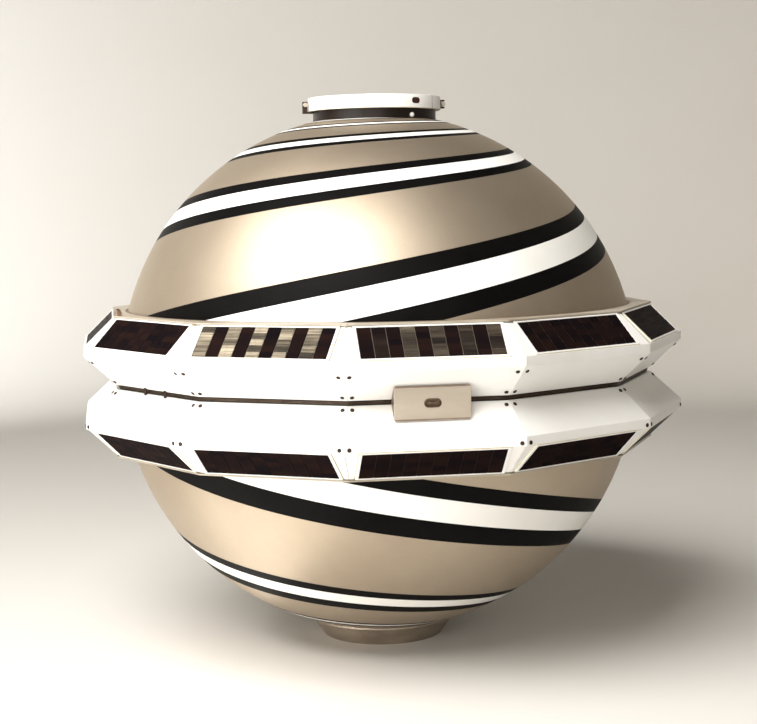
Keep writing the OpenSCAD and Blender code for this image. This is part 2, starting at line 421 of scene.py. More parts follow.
def grown(name, tree, points, attributes, values):
    """Runs a tree on a cloud of points and keeps what it makes as a plain mesh piece."""
    mesh = bpy.data.meshes.new(name)
    mesh.from_pydata(points, [], [])
    for label, rows in attributes.items():
        kind = "FLOAT_VECTOR" if hasattr(rows[0], "__len__") else "FLOAT"
        layer = mesh.attributes.new(label, kind, "POINT")
        for k, row in enumerate(rows):
            if kind == "FLOAT":
                layer.data[k].value = row
            else:
                layer.data[k].vector = row
    seed = bpy.data.objects.new(name, mesh)
    bpy.context.scene.collection.objects.link(seed)
    modifier = seed.modifiers.new("grow", "NODES")
    modifier.node_group = tree
    for item in tree.interface.items_tree:
        if item.in_out == "INPUT" and item.name in values:
            modifier[item.identifier] = values[item.name]
    bpy.context.view_layer.update()
    final = bpy.data.meshes.new_from_object(seed.evaluated_get(bpy.context.evaluated_depsgraph_get()))
    seed.modifiers.clear()
    seed.data = final
    return seed


def end_tree(tree, instances, material, out):
    """Makes the instances real and gives them their material."""
    real = add(tree, "GeometryNodeRealizeInstances", {"Geometry": instances})
    done = add(tree, "GeometryNodeSetMaterial", {"Geometry": real.outputs[0], "Material": material})
    tree.links.new(done.outputs[0], out.inputs[0])


def screw_tree():
    """Domed screw heads with a dimple, one on each point, facing where the point says."""
    number = "NodeSocketFloat"
    tree, given, out = tree_for("screw_heads", [
        ("Head Radius", number, 0.0034), ("Head Height", number, 0.0018), ("Dimple Depth", number, 0.0009),
        ("Material", "NodeSocketMaterial", None)])
    head = add(tree, "GeometryNodeMeshCylinder",
               {"Vertices": 16, "Side Segments": 1, "Fill Segments": 3, "Radius": given["Head Radius"],
                "Depth": given["Head Height"]}, fill_type="TRIANGLE_FAN")
    at = add(tree, "GeometryNodeInputPosition").outputs[0]
    parts = add(tree, "ShaderNodeSeparateXYZ", {0: at}).outputs
    flat = add(tree, "ShaderNodeCombineXYZ", {0: parts[0], 1: parts[1]}).outputs[0]
    reach = add(tree, "ShaderNodeVectorMath", {0: flat}, operation="LENGTH").outputs["Value"]
    share = maths(tree, "DIVIDE", reach, given["Head Radius"])
    dome = maths(tree, "MULTIPLY", maths(tree, "POWER", share, 2.5), given["Head Height"])
    dome = maths(tree, "MULTIPLY", dome, -0.55)
    dimple = maths(tree, "MULTIPLY", maths(tree, "LESS_THAN", share, 0.45), given["Dimple Depth"])
    sink = maths(tree, "SUBTRACT", dome, dimple)
    sink = maths(tree, "MULTIPLY", sink, maths(tree, "GREATER_THAN", parts[2], 0.0))
    lift = maths(tree, "MULTIPLY_ADD", given["Head Height"], 0.5, sink)
    shift = add(tree, "ShaderNodeCombineXYZ", {2: lift}).outputs[0]
    head = add(tree, "GeometryNodeSetPosition", {"Geometry": head.outputs["Mesh"], "Offset": shift})
    facing = add(tree, "GeometryNodeInputNamedAttribute", {"Name": "facing"}, data_type="FLOAT_VECTOR")
    turned = add(tree, "FunctionNodeAlignRotationToVector", {"Vector": facing.outputs["Attribute"]}, axis="Z")
    placed = add(tree, "GeometryNodeInstanceOnPoints",
                 {"Points": given["Geometry"], "Instance": head.outputs["Geometry"],
                  "Rotation": turned.outputs[0]})
    end_tree(tree, placed.outputs[0], given["Material"], out)
    return tree


def screw_heads(name, points, facings, radius, height, dimple, material=screw_steel):
    return grown(name, screws, points, {"facing": facings}, {
        "Head Radius": radius, "Head Height": height, "Dimple Depth": dimple, "Material": material})


def cell_tree():
    """Rows of overlapping cells on each panel, tagged with their column and a chance value."""
    number = "NodeSocketFloat"
    whole = "NodeSocketInt"
    tree, given, out = tree_for("solar_cells", [
        ("Columns", whole, 10), ("Rows", whole, 5),
        ("Field Width", number, 0.2), ("Field Height", number, 0.06),
        ("Column Gap", number, 0.001), ("Overlap", number, 0.0008), ("Cell Thickness", number, 0.0005),
        ("Shingle Tilt", number, 0.03), ("Seed", whole, 7), ("Material", "NodeSocketMaterial", None)])
    pitch_x = maths(tree, "DIVIDE", given["Field Width"], given["Columns"])
    pitch_y = maths(tree, "DIVIDE", given["Field Height"], given["Rows"])
    grid = add(tree, "GeometryNodeMeshGrid",
               {"Size X": maths(tree, "SUBTRACT", given["Field Width"], pitch_x),
                "Size Y": maths(tree, "SUBTRACT", given["Field Height"], pitch_y),
                "Vertices X": given["Columns"], "Vertices Y": given["Rows"]})
    at = add(tree, "GeometryNodeInputPosition").outputs[0]
    parts = add(tree, "ShaderNodeSeparateXYZ", {0: at}).outputs
    column = maths(tree, "DIVIDE", parts[0], pitch_x)
    column = maths(tree, "ADD", column, maths(tree, "MULTIPLY", given["Columns"], 0.5))
    column = maths(tree, "FLOOR", column)
    chance = add(tree, "FunctionNodeRandomValue", {"Seed": given["Seed"]}, data_type="FLOAT").outputs[1]
    marked = grid.outputs["Mesh"]
    for label, value in (("column", column), ("chance", chance)):
        marked = add(tree, "GeometryNodeStoreNamedAttribute",
                     {"Geometry": marked, "Name": label, "Value": value}, data_type="FLOAT", domain="POINT"
                     ).outputs[0]
    size = add(tree, "ShaderNodeCombineXYZ",
               {0: maths(tree, "SUBTRACT", pitch_x, given["Column Gap"]),
                1: maths(tree, "ADD", pitch_y, given["Overlap"]), 2: given["Cell Thickness"]})
    cell = add(tree, "GeometryNodeMeshCube", {"Size": size.outputs[0]})
    lean = add(tree, "ShaderNodeCombineXYZ", {0: given["Shingle Tilt"]})
    cells = add(tree, "GeometryNodeInstanceOnPoints",
                {"Points": marked, "Instance": cell.outputs["Mesh"], "Rotation": lean.outputs[0]})
    field = add(tree, "GeometryNodeRealizeInstances", {"Geometry": cells.outputs[0]})
    turn = add(tree, "GeometryNodeInputNamedAttribute", {"Name": "turn"}, data_type="FLOAT_VECTOR")
    panels = add(tree, "GeometryNodeInstanceOnPoints",
                 {"Points": given["Geometry"], "Instance": field.outputs[0],
                  "Rotation": turn.outputs["Attribute"]})
    end_tree(tree, panels.outputs[0], given["Material"], out)
    return tree


def cell_glass():
    """Dark glassy cells. On panels given a sheen, every second column carries a painted reflection in pale
    brown, cell by cell.
    """
    material, tree, shader = blank("solar_cell_glass")
    place = add(tree, "ShaderNodeTexCoord").outputs["Object"]

    def tag(label):
        return add(tree, "ShaderNodeAttribute", attribute_name=label).outputs["Fac"]
    chance = maths(tree, "FRACT", maths(tree, "MULTIPLY_ADD", tag("chance"), 7.31, tag("shift")))
    counted = maths(tree, "ADD", tag("column"), tag("offset"))
    every_second = maths(tree, "LESS_THAN", maths(tree, "MODULO", counted, 2.0), 0.5)
    # The columns that carry the painted reflection, picked by white noise per column.
    reflection_pick = maths(tree, "MULTIPLY_ADD", tag("shift"), 37.0, tag("column"))
    reflection_pick = add(tree, "ShaderNodeTexWhiteNoise", {"W": reflection_pick}, noise_dimensions="1D").outputs["Value"]
    reflection_pick = maths(tree, "POWER", reflection_pick, 3.5)
    picked = maths(tree, "MULTIPLY_ADD", reflection_pick, maths(tree, "SUBTRACT", 1.0, tag("sheen")), tag("sheen"))
    picked = maths(tree, "MULTIPLY", picked, maths(tree, "GREATER_THAN", tag("sheen"), 0.01))
    streak = noise(tree, add(tree, "ShaderNodeMapping", {"Vector": place, "Scale": (12, 12, 420)}).outputs[0],
                   1.0, 4.0, 0.6)
    grain = noise(tree, place, 900.0, 2.0)
    by_cell = stretched(tree, maths(tree, "POWER", chance, 1.5), 0.0, 1.0, 0.10, 1.0)
    by_streak = stretched(tree, streak, 0.35, 0.65, 0.35, 1.15)
    painted_reflection = maths(tree, "MULTIPLY", every_second, picked)
    painted_reflection = maths(tree, "MULTIPLY", painted_reflection, by_cell)
    painted_reflection = maths(tree, "MULTIPLY", painted_reflection, by_streak)
    share = stretched(tree, chance, 0.0, 1.0, 0.0, 1.0)
    dark = blended(tree, share, (0.004, 0.003, 0.004), (0.012, 0.006, 0.005))
    dark = blended(tree, stretched(tree, grain, 0.5, 0.8, 0.0, 0.3), dark, (0.03, 0.02, 0.018))
    # The pale brown is the colour of the painted reflection.
    colour = blended(tree, painted_reflection, dark, (0.44, 0.38, 0.28))
    tree.links.new(colour, shader.inputs["Base Color"])
    tree.links.new(stretched(tree, streak, 0.3, 0.7, 0.26, 0.38), shader.inputs["Roughness"])
    bump = add(tree, "ShaderNodeBump", {"Height": streak, "Strength": 0.08, "Distance": 0.0003})
    tree.links.new(bump.outputs["Normal"], shader.inputs["Normal"])
    shader.inputs["Specular IOR Level"].default_value = 0.01
    shader.inputs["IOR"].default_value = 1.2
    return material


# ---------------------------------------------------------------- the striped sphere
def spiral_lean(latitude, curl, rise):
    return curl * math.atanh(math.sin(latitude)) + rise * math.tan(latitude)


def sphere_half(name, node, lower, start, widths, curl, rise):
    """Half of the sphere as a skin whose rows of faces follow the painted spirals."""
    flip = -1 if lower else 1
    black_a, white, black_b = widths
    silver = 180.0 - sum(widths)
    columns = []
    angle = start
    for _ in range(2):
        for width, steps, paint in ((black_a, 6, 1), (white, 8, 2), (black_b, 6, 1), (silver, 30, 0)):
            for k in range(steps):
                columns.append((math.radians(angle + width * k / steps), paint))
            angle += width
    top = math.radians(77.5)
    total = spiral_lean(top, curl, rise)
    turns = int(total / math.radians(3.0)) + 1
    latitudes = []
    for k in range(turns + 1):
        low, high = 0.0, top
        for _ in range(40):
            middle = (low + high) / 2
            if spiral_lean(middle, curl, rise) < total * k / turns:
                low = middle
            else:
                high = middle
        latitudes.append(((low + high) / 2, total * k / turns, True))
    latitudes += [(math.radians(d), total, False) for d in (79.5, 82.0, 84.5, 87.0, 88.8)]
    bm = bmesh.new()
    centre = Vector((0, 0, EQUATOR))

    def point(angle, latitude, radius):
        return centre + radius * Vector((math.cos(latitude) * math.sin(angle),
                                         -math.cos(latitude) * math.cos(angle), flip * math.sin(latitude)))
    rows = [[bm.verts.new(point(a + lean, latitude, RADIUS)) for a, _ in columns]
            for latitude, lean, _ in latitudes]
    pole = bm.verts.new(point(0, math.pi / 2, RADIUS))
    wall = RADIUS - 4 * MM
    inner = [[bm.verts.new(point(a, math.radians(d), wall)) for a, _ in columns] for d in range(0, 90, 6)]
    inner_pole = bm.verts.new(point(0, math.pi / 2, wall))
    count = len(columns)

    def strip(low, high, painted, inward=False):
        for k in range(count):
            n = (k + 1) % count
            corners = (low[k], low[n], high[n], high[k])
            if inward != lower:
                corners = corners[::-1]
            face = bm.faces.new(corners)
            face.smooth = True
            face.material_index = columns[k][1] if painted else 0
    for k in range(len(rows) - 1):
        strip(rows[k], rows[k + 1], latitudes[k + 1][2])
    for low, high in zip(inner, inner[1:]):
        strip(low, high, False, True)
    strip(inner[0], rows[0], False)
    for ring, tip, turned in ((rows[-1], pole, lower), (inner[-1], inner_pole, not lower)):
        for k in range(count):
            corners = (ring[k], ring[(k + 1) % count], tip)
            face = bm.faces.new(corners[::-1] if turned else corners)
            face.smooth = True
    piece = shown(name, bm, [silver_paint, black_stripe, white_stripe], mend=False)
    piece.data.set_sharp_from_angle(angle=math.radians(40))
    return settle(piece, BODY, [node])


sphere_half("upper_sphere_skin", "upper_shell", False, -141.5, (22.0, 30.5, 20.5), 2.46, 2.21)
sphere_half("lower_sphere_skin", "lower_shell", True, -143.7, (25.0, 27.0, 18.0), 3.68, 0.87)


# ---------------------------------------------------------------- the belt
def belt_sheets(name, node, lower):
    """Twelve bent sheets, each with lip, face, rim and seat, that meet at the belt's corners."""
    inner = LIP - SHEET
    thick = SHEET * 1.4
    section = rounded([
        (GROOVE_FLOOR, GROOVE), (WAIST, GROOVE), (LIP, LIP_LOW), (LIP, LIP_HIGH), (inner, LIP_HIGH),
        on_panel(up_at(inner, -PANEL_DEEP), -PANEL_DEEP), on_panel(PANEL_LOW + SEAT, -PANEL_DEEP),
        on_panel(PANEL_LOW + SEAT, -PANEL_DEEP - SHEET),
        on_panel(up_at(inner, -PANEL_DEEP - SHEET), -PANEL_DEEP - SHEET),
        (inner, face_run(inner) + thick), (WAIST, GROOVE + thick), (GROOVE_FLOOR, GROOVE + thick)], 1.1 * MM)
    bm = bmesh.new()
    for side in range(SIDES):
        prism(bm, section, mitred(0.25 * MM), side, lower)
    return settle(shown(name, bm, [white_enamel], smooth=32), BODY, [node])


def corner_wings(name, node, lower):
    """Two thin wings on each corner, one on each side of the corner's seam."""
    proud = 2 * MM
    section = [on_panel(PANEL_LOW, -proud), on_panel(PANEL_LOW, -PANEL_DEEP),
               on_panel(PANEL_HIGH, -PANEL_DEEP), on_panel(PANEL_HIGH, -proud)]
    bm = bmesh.new()
    inside = PANEL_HALF + 0.5 * MM
    for side in range(SIDES):
        for hand in (-1, 1):
            def ends(a, z, hand=hand):
                outside = a * math.tan(HALF_TURN) - 0.3 * MM
                return (inside, outside) if hand > 0 else (-outside, -inside)
            prism(bm, section, ends, side, lower)
    bevel(bm, 0.5 * MM)
    return settle(shown(name, bm, [white_enamel]), BODY, [node])


MARGIN_SIDE = 5 * MM
MARGIN_END = 3 * MM
TRAY = 1.4 * MM


def panel_trays(name, lower, plate):
    """The panels' plates: a raised rim round a sunk field that carries the cells."""
    bm = bmesh.new()
    for side in range(SIDES):
        place = on_side(side, lower)
        corners = [(-PANEL_HALF, PANEL_LOW), (PANEL_HALF, PANEL_LOW), (PANEL_HALF, PANEL_HIGH),
                   (-PANEL_HALF, PANEL_HIGH)]
        outer = rounded(corners, 1.5 * MM, 3)
        field = [(math.copysign(abs(x) - MARGIN_SIDE, x), y + (MARGIN_END if y == PANEL_LOW else -MARGIN_END))
                 for x, y in corners]
        field = rounded(field, 0.8 * MM, 3)
        chamfer = 0.5 * MM
        shrunk = [(x * (1 - chamfer / PANEL_HALF), y + (chamfer if y < PANEL_MIDDLE else -chamfer))
                  for x, y in outer]
        rings = [(shrunk, -PANEL_DEEP), (outer, -PANEL_DEEP + chamfer), (outer, -chamfer), (shrunk, 0.0),
                 (field, 0.0), (field, -TRAY)]
        loops = [[bm.verts.new(place(x, y, out)) for x, y in outline] for outline, out in rings]
        for n, (low, high) in enumerate(zip(loops, loops[1:])):
            for face in bridge(bm, low, high):
                face.material_index = 1 if n in (1, 2) else 0
        bm.faces.new(loops[0][::-1])
        bm.faces.new(loops[-1]).material_index = 2
    piece = shown(name, bm, [white_enamel, white_edge, plate])
    half = "lower" if lower else "upper"
    return settle(piece, BODY, [f"{half}_panel_{k + 1}" for k in range(SIDES)])


def panel_cells(name, lower, tree, glass, sheens):
    centres, turns, sheen, shift, offset = [], [], [], [], []
    for side in range(SIDES):
        place = on_side(side, lower)
        origin = place(0, PANEL_MIDDLE, -0.75 * MM)
        across = (place(1, PANEL_MIDDLE, 0) - place(0, PANEL_MIDDLE, 0)).normalized()
        up = (place(0, 1, 0) - place(0, 0, 0)).normalized()
        frame_turn = Matrix((across, up, across.cross(up))).transposed()
        centres.append(origin)
        turns.append(tuple(frame_turn.to_euler()))
        sheen.append(sheens.get(side + 1, 0.0))
        shift.append((side * 0.377) % 1.0)
        # Shifts which columns carry the painted reflection on sides 1 and 7.
        offset.append(1.0 if side in (0, 6) else 0.0)
    tags = {"turn": turns, "sheen": sheen, "shift": shift, "offset": offset}
    piece = grown(name, tree, centres, tags, {
        "Columns": 10, "Rows": 5, "Field Width": 2 * (PANEL_HALF - MARGIN_SIDE) - 1 * MM,
        "Field Height": PANEL_HIGH - PANEL_LOW - 2 * MARGIN_END - 1.4 * MM, "Column Gap": 0.9 * MM,
        "Overlap": 0.5 * MM, "Cell Thickness": 0.4 * MM, "Shingle Tilt": 0.025, "Seed": 7, "Material": glass})
    return settle(piece)


cells = cell_tree()
glass = cell_glass()
for half, low in (("upper", False), ("lower", True)):
    belt_sheets(f"{half}_belt_sheets", f"{half}_belt_frame", low)
    corner_wings(f"{half}_corner_wings", f"{half}_gussets", low)
    # The lower panels take the near-black backing as painted shade.
    panel_trays(f"{half}_panel_trays", low, shaded_backing if low else backing)
    # Strength of the painted reflection on the cells of each upper side; the lower cells get none.
    sheens = {} if low else {12: 1.0, 1: 0.03, 7: 0.03, 6: 1.0}
    panel_cells(f"{half}_solar_cells", low, cells, glass, sheens)


def wire_path(apothem, height, corner, steps=5):
    """A closed twelve-sided path with eased corners."""
    flat = [(apothem / math.cos(HALF_TURN) * math.cos(HALF_TURN * (2 * k + 1)),
             apothem / math.cos(HALF_TURN) * math.sin(HALF_TURN * (2 * k + 1))) for k in range(SIDES)]
    return [Vector((x, y, EQUATOR + height)) for x, y in rounded(flat, corner, steps)]


def tube(bm, path, radius, sides=8):
    """A closed round wire along a closed flat path."""
    rings = []
    count = len(path)
    for k, here in enumerate(path):
        ahead = (path[(k + 1) % count] - path[k - 1]).normalized()
        out = ahead.cross(Vector((0, 0, 1)))
        rings.append([bm.verts.new(here + radius * (out * math.cos(a) + Vector((0, 0, math.sin(a)))))
                      for a in (2 * math.pi * n / sides for n in range(sides))])
    for k in range(count):
        bridge(bm, rings[(k + 1) % count], rings[k])


def waist_wires():
    bm = bmesh.new()
    for height in (-1.0 * MM, 1.0 * MM):
        tube(bm, wire_path(GROOVE_FLOOR + 1.6 * MM, height, 14 * MM), 0.7 * MM)
    settle(shown("waist_wires", bm, [wire_steel], smooth=60), BODY, ["waist_cable"])


waist_wires()


def wire_clips():
    """Pairs of small saddles that hold the wires in the groove on two opposite sides."""
    bm = bmesh.new()
    outline = oblong(6.4 * MM, 13 * MM, 1.2 * MM)
    for side in (4, 10):
        turn = side_turn(side)
        for across in (-30 * MM, 30 * MM):
            def place(x, y, out, across=across, turn=turn):
                return turn @ Vector((across + x, -(WAIST + 0.2 * MM + out), EQUATOR + y))
            extruded(bm, outline, place, 0.0, 2.2 * MM)
    bevel(bm, 0.4 * MM)
    settle(shown("wire_clips", bm, [screw_steel]))


wire_clips()


def rail_knobs():
    """A small clamp with a domed screw on the upper rail at two opposite corners."""
    bm = bmesh.new()
    rail_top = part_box("upper_belt_rail")[1].z
    reach = (LIP - PANEL_HIGH * math.cos(SLOPE)) / math.cos(HALF_TURN) - 8 * MM
    outline = oblong(16 * MM, 10 * MM, 2 * MM)
    points = []
    for angle in (-75, 105):
        turn = Matrix.Rotation(math.radians(angle), 3, "Z")

        def place(x, y, out, turn=turn):
            return turn @ Vector((x, -(reach + y), rail_top + out))
        extruded(bm, outline, place, 0.0, 7 * MM)
        extruded(bm, [(x * 0.62, y * 0.8) for x, y in outline], place, 7 * MM, 10 * MM)
        points.append(place(0, 0, 10 * MM))
    bevel(bm, 0.6 * MM)
    settle(shown("rail_knobs", bm, [plate_edge]))
    up = [Vector((0, 0, 1))] * len(points)
    heads = screw_heads("rail_knob_screws", points, up, 3 * MM, 1.7 * MM, 0.7 * MM)
    settle(heads)


def shaded_rail_seal(name, lower):
    """A flat strip that closes the joint between a rail's bore and the sphere. Its brown is a painted shadow
    for that joint.
    """
    flip = -1 if lower else 1
    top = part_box("upper_belt_rail")[1].z - EQUATOR
    bore_edge = math.sqrt(RADIUS ** 2 - (top - 16 * MM) ** 2) - 0.1 * MM
    sphere_edge = math.sqrt(RADIUS ** 2 - top ** 2) - 0.6 * MM
    bottom = top - 2 * MM
    outline = rounded([(sphere_edge, bottom), (bore_edge, bottom), (bore_edge, top - 0.2 * MM),
                       (sphere_edge, top + 0.6 * MM)], 0.4 * MM, 2)
    bm = bmesh.new()
    lathe(bm, [(r, EQUATOR + flip * z) for r, z in outline])
    settle(shown(name, bm, [plate_edge], smooth=30))


shaded_rail_seal("upper_rail_seal", False)
shaded_rail_seal("lower_rail_seal", True)


def belt_screws():
    """Screws in pairs at each corner, by the groove and by the lips."""
    points, facings = [], []

    def put(side, across, apothem, height, normal, lower):
        turn = side_turn(side)
        flip = -1 if lower else 1
        points.append(turn @ Vector((across, -apothem, EQUATOR + flip * height)))
        facings.append(turn @ Vector((0, -normal[0], flip * normal[1])))
    run = Vector((LIP - WAIST, LIP_LOW - GROOVE)).normalized()
    under = (run.y, -run.x)
    for side in range(SIDES):
        for lower in (False, True):
            for hand in (-1, 1):
                for height, inset in ((9.6 * MM, 7.6 * MM), (44 * MM, 8.4 * MM)):
                    apothem = WAIST + (height - GROOVE) * run.x / run.y
                    if lower and height > 20 * MM:
                        put(side, hand * (LIP * math.tan(HALF_TURN) - 7.6 * MM), LIP, 63 * MM, (1, 0), lower)
                        continue
                    put(side, hand * (apothem * math.tan(HALF_TURN) - inset), apothem, height, under, lower)
    settle(screw_heads("belt_screws", points, facings, 3.3 * MM, 1.7 * MM, 0.8 * MM))


screws = screw_tree()
belt_screws()
rail_knobs()


# ---------------------------------------------------------------- despin weights
def weight(side, body, node, latch_node, label):
    """A wedge block with a thin cover, an oval latch recess and screws in its end faces."""
    low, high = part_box(node)
    half = high.x
    tall = (high.z - low.z) / 2
    face = -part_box("front_weight")[0].y
    cover = 1.8 * MM
    turn = side_turn(side)

    def seat(z):
        return WAIST + 0.6 * MM + (abs(z) - GROOVE) * (LIP - WAIST) / (LIP_LOW - GROOVE)

    def place(x, y, out):
        return turn @ Vector((x, -(face + out), EQUATOR + y))
    block_face = face - cover - 0.35 * MM
    outline = [(block_face, -tall + 0.6 * MM), (seat(tall), -tall + 0.6 * MM), (seat(GROOVE), -GROOVE),
               (seat(GROOVE), GROOVE), (seat(tall), tall - 0.6 * MM), (block_face, tall - 0.6 * MM)]
    bm = bmesh.new()
    prism(bm, outline, lambda a, z: (-half + 0.6 * MM, half - 0.6 * MM), side)
    bevel(bm, 0.8 * MM)
    block = shown(f"{label}_weight_block", bm, [plate_edge, latch_metal])
    bm = bmesh.new()
    extruded(bm, oblong(2 * half, 2 * tall, 4 * MM, 6), place, -cover, 0.0)
    bevel(bm, 0.55 * MM, 3)
    lid = shown(f"{label}_weight_cover", bm, [plate_metal])
    for piece, name in ((block, "a"), (lid, "b")):
        bm = bmesh.new()
        extruded(bm, stadium(24 * MM, 11 * MM), place, -4.8 * MM, 4 * MM)
        carved(piece, [shown("cutter_" + name, bm, [latch_metal])])
    settle(block, body, [node])
    settle(lid, body)
    bm = bmesh.new()
    for way in (-1, 1):
        strip = [(x, y + way * (tall - 1.2 * MM)) for x, y in oblong(2 * half - 3 * MM, 2 * MM, 0.6 * MM, 2)]
        extruded(bm, strip, place, -0.8 * MM, 0.7 * MM)
    bevel(bm, 0.3 * MM)
    settle(shown(f"{label}_weight_rails", bm, [plate_edge]), body)
    bm = bmesh.new()
    ring_out, ring_in = stadium(27 * MM, 14 * MM), stadium(24 * MM, 11 * MM)
    loops = [[bm.verts.new(place(x, y, out)) for x, y in outline]
             for outline, out in ((ring_out, -0.4 * MM), (ring_out, 0.5 * MM),
                                  (ring_in, 0.8 * MM), (ring_in, -2 * MM))]
    for low_loop, high_loop in zip(loops, loops[1:] + loops[:1]):
        bridge(bm, low_loop, high_loop)
    for across in (-5.6 * MM, 5.6 * MM):
        extruded(bm, stadium(5.2 * MM, 5.0 * MM, 8), lambda x, y, o, across=across: place(x + across, y, o),
                 -4.8 * MM, -0.6 * MM)
    extruded(bm, stadium(13 * MM, 3 * MM, 6), place, -4.8 * MM, -1.6 * MM)
    settle(shown(f"{label}_latch_parts", bm, [latch_metal]), body, [latch_node])
    points, facings = [], []
    for hand in (-1, 1):
        for z, out in ((-17 * MM, -6 * MM), (0, -14 * MM), (0, -7 * MM), (17 * MM, -6 * MM)):
            points.append(place(hand * (half - 0.6 * MM), z, out))
            facings.append(turn @ Vector((hand, 0, 0)))
    heads = screw_heads(f"{label}_weight_screws", points, facings, 1.6 * MM, 0.5 * MM, 0.25 * MM)
    settle(heads, body)


weight(0, "front_weight_body", "front_weight", "front_latch", "front")
weight(6, "rear_weight_body", "rear_weight", "rear_latch", "rear")


# ---------------------------------------------------------------- top ring and clamp band
def sphere_height(radius, flip=1):
    """The height at which a ring of that radius seats on the sphere, above or below its middle."""
    return EQUATOR + flip * math.sqrt((RADIUS + 0.3 * MM) ** 2 - radius ** 2)


def deck_plate(name, node, disc, bore, face, back):
    """A closing disc whose outer face has a shallow ring sunk in it."""
    sunk = face + math.copysign(0.8 * MM, back - face)
    outline = [(0, back), (disc, back), (disc, face), (bore * 0.72, face), (bore * 0.70, sunk),
               (bore * 0.32, sunk), (bore * 0.30, face), (0, face)]
    bm = bmesh.new()
    disc_lathe(bm, rounded(outline, 0.3 * MM, 2, closed=False))
    settle(shown(name, bm, [deck_satin], smooth=30), BODY, [node])


def top_ring():
    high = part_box("top_neck")[1]
    flange = high.x
    neck = flange - 5 * MM
    bevel_in = 4 * MM
    top = high.z
    bottom = top - 13 * MM
    bore = neck - 8.5 * MM
    wall = neck - 4.25 * MM
    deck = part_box("top_deck")[1].z
    outline = rounded([
        (neck, sphere_height(neck)), (neck, bottom), (flange, bottom + bevel_in), (flange, top - bevel_in),
        (flange - bevel_in, top), (bore, top), (bore, deck), (wall, deck), (wall, sphere_height(wall))],
        0.7 * MM)
    bm = bmesh.new()
    lathe(bm, outline)
    settle(shown("top_neck_ring", bm, [neck_dark], smooth=30), BODY, ["top_neck"])
    deck_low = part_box("top_deck")[0].z
    deck_plate("top_deck_plate", "top_deck", wall - 0.4 * MM, bore, deck, deck_low)
    return bore, deck


def clamp_half(side, body, node, label):
    """Half of the clamp band, a channel with rolled edges, and a bracket at each of its ends."""
    low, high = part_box(node)
    band_low = low.z
    band_high = high.z
    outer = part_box("top_neck")[1].x + 3.5 * MM
    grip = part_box("top_neck")[1].x - 3.4 * MM
    inside = outer - 3.2 * MM
    shelf = 3 * MM
    outline = rounded([(grip, band_low), (outer, band_low), (outer, band_high), (grip, band_high),
                       (grip, band_high - shelf), (inside, band_high - shelf), (inside, band_low + shelf),
                       (grip, band_low + shelf)], 1.0 * MM, 3)
    gap = math.asin(2 * MM / outer)
    turn = math.pi if side == 0 else 0.0
    middle = (band_low + band_high) / 2

    def around(degrees, lift=0.0):
        turned = Matrix.Rotation(math.radians(degrees), 3, "Z")
        return lambda x, y, out: turned @ Vector((x, -(outer + out), middle + lift + y))

    def shade(first, second):
        return 1 if max(first[1], second[1]) < band_low + 2.6 * MM else 0
    bm = bmesh.new()
    lathe(bm, outline, turn + gap, turn + math.pi - gap, 96, shade)
    piece = shown(f"{label}_band_channel", bm, [band_enamel, white_edge], smooth=35)
    if label == "front":
        hole, line = bmesh.new(), bmesh.new()
        extruded(hole, stadium(17 * MM, 10.5 * MM, 10), around(28.5, 1 * MM), -2.4 * MM, 3 * MM)
        x, y = 0.5 * MM, 16 * MM
        extruded(line, [(-x, -y), (x, -y), (x, y), (-x, y)], around(50), -0.7 * MM, 3 * MM)
        carved(piece, [shown("cutter_hole", hole, [maroon]), shown("cutter_line", line, [neck_dark])])
    settle(piece, body, [node])
    bm = bmesh.new()
    hand_y = -1 if side == 0 else 1
    fork = [(-1, -7.5), (9, -7.5), (9, -4.7), (2.2, -4.7), (2.2, 4.7), (9, 4.7), (9, 7.5), (-1, 7.5)]
    angle = [(-8, -15), (10.5, -15), (10.5, 5.5), (2.4, 5.5), (2.4, -12.1), (-8, -12.1)]
    for hand, corners in ((-1, angle), (1, fork)):
        outline = rounded([(hand * x * MM, y * MM) for x, y in corners], 0.8 * MM, 3)

        def place_c(x, y, out, hand=hand):
            return Vector((hand * outer + x, hand_y * (2 * MM + out), middle + y))
        extruded(bm, outline, place_c, 0.0, 4 * MM)
    bevel(bm, 0.35 * MM)
    settle(shown(f"{label}_band_lugs", bm, [screw_steel]), body)


def neck_stud():
    """A white domed stud low on the neck, right of the front."""
    around = math.radians(27)
    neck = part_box("top_neck")[1].x - 5 * MM
    facing = Vector((math.sin(around), -math.cos(around), 0))
    point = facing * (neck - 0.2 * MM) + Vector((0, 0, sphere_height(neck) + 5.2 * MM))
    settle(screw_heads("neck_stud", [point], [facing], 4.2 * MM, 5 * MM, 0.0, white_enamel))


def band_bolts():
    """The two bolts that draw the halves together, with a head and a nut."""
    low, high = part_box("front_clamp_band")
    middle = (low.z + high.z) / 2
    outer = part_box("top_neck")[1].x + 3.5 * MM
    bm = bmesh.new()
    for hand in (-1, 1):
        def place(x, y, out, hand=hand):
            return Vector((hand * (outer + 6.5 * MM) + x, out, middle + y))
        hexagon = polygon(4.2 * MM, 6)
        extruded(bm, hexagon, place, -9.3 * MM, -6.1 * MM)
        extruded(bm, polygon(2.3 * MM, 20), place, -6.1 * MM, 10.5 * MM)
        extruded(bm, hexagon, place, 6.1 * MM, 9.1 * MM)
    bevel(bm, 0.3 * MM)
    settle(shown("band_bolts", bm, [bolt_steel]), "front_band_body")


bore, deck_face = top_ring()
clamp_half(0, "front_band_body", "front_clamp_band", "front")
clamp_half(6, "rear_band_body", "rear_clamp_band", "rear")
band_bolts()
neck_stud()


